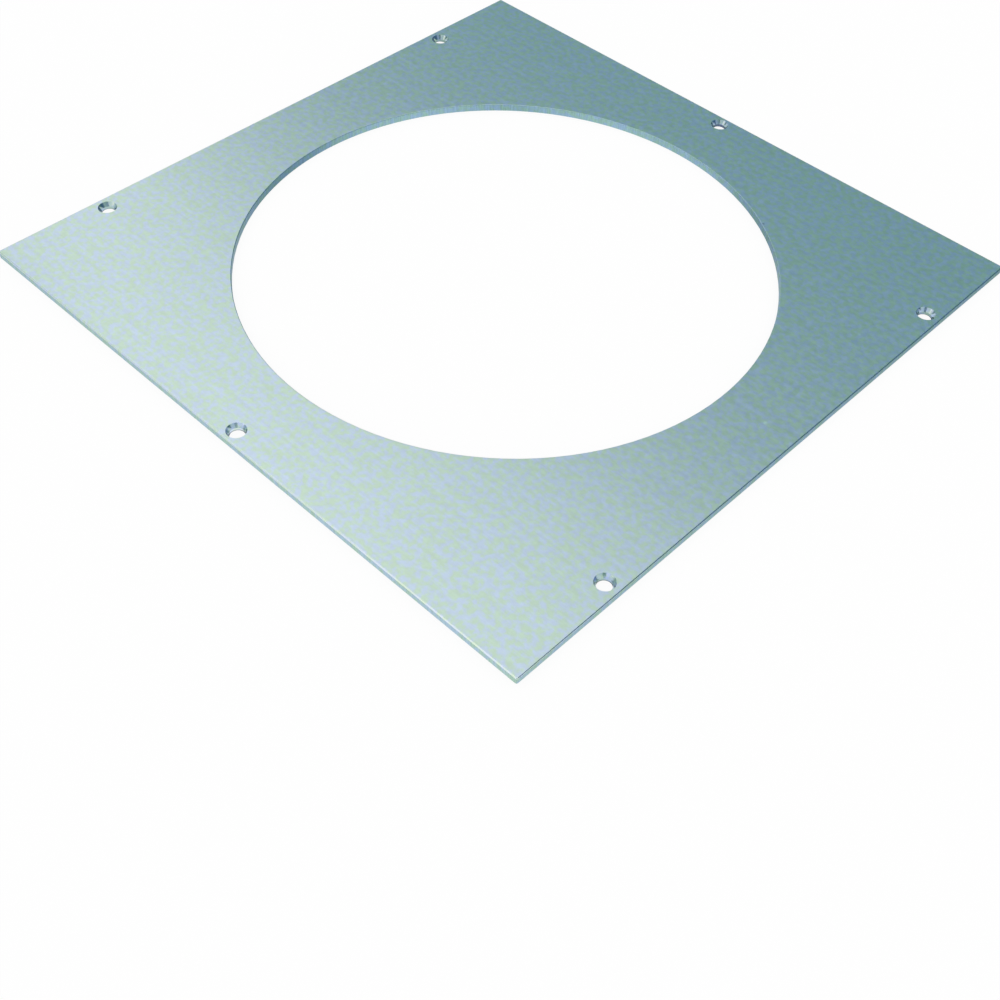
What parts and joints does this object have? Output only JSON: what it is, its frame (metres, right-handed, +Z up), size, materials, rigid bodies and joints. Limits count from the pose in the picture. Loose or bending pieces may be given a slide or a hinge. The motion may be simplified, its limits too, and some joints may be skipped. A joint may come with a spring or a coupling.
{
  "type": "floor box cover plate",
  "caption": "Square flat steel cover plate for a floor box, with a large round opening for a service outlet and countersunk screw holes close to its sides.",
  "frame": {"origin": "centre of the plate at its underside", "axes": "+Z up, out of the countersunk face; X across the two sides that have two holes each; Y across the two sides that have one hole each"},
  "size_m": [0.398, 0.398, 0.004],
  "materials": {
    "zinc_coated_steel": "satin zinc-coated sheet, cool grey, with a fine rolled grain along X and bright cut edges"
  },
  "bodies": {
    "root": {"cover_plate": "zinc_coated_steel"}
  },
  "joints": []
}
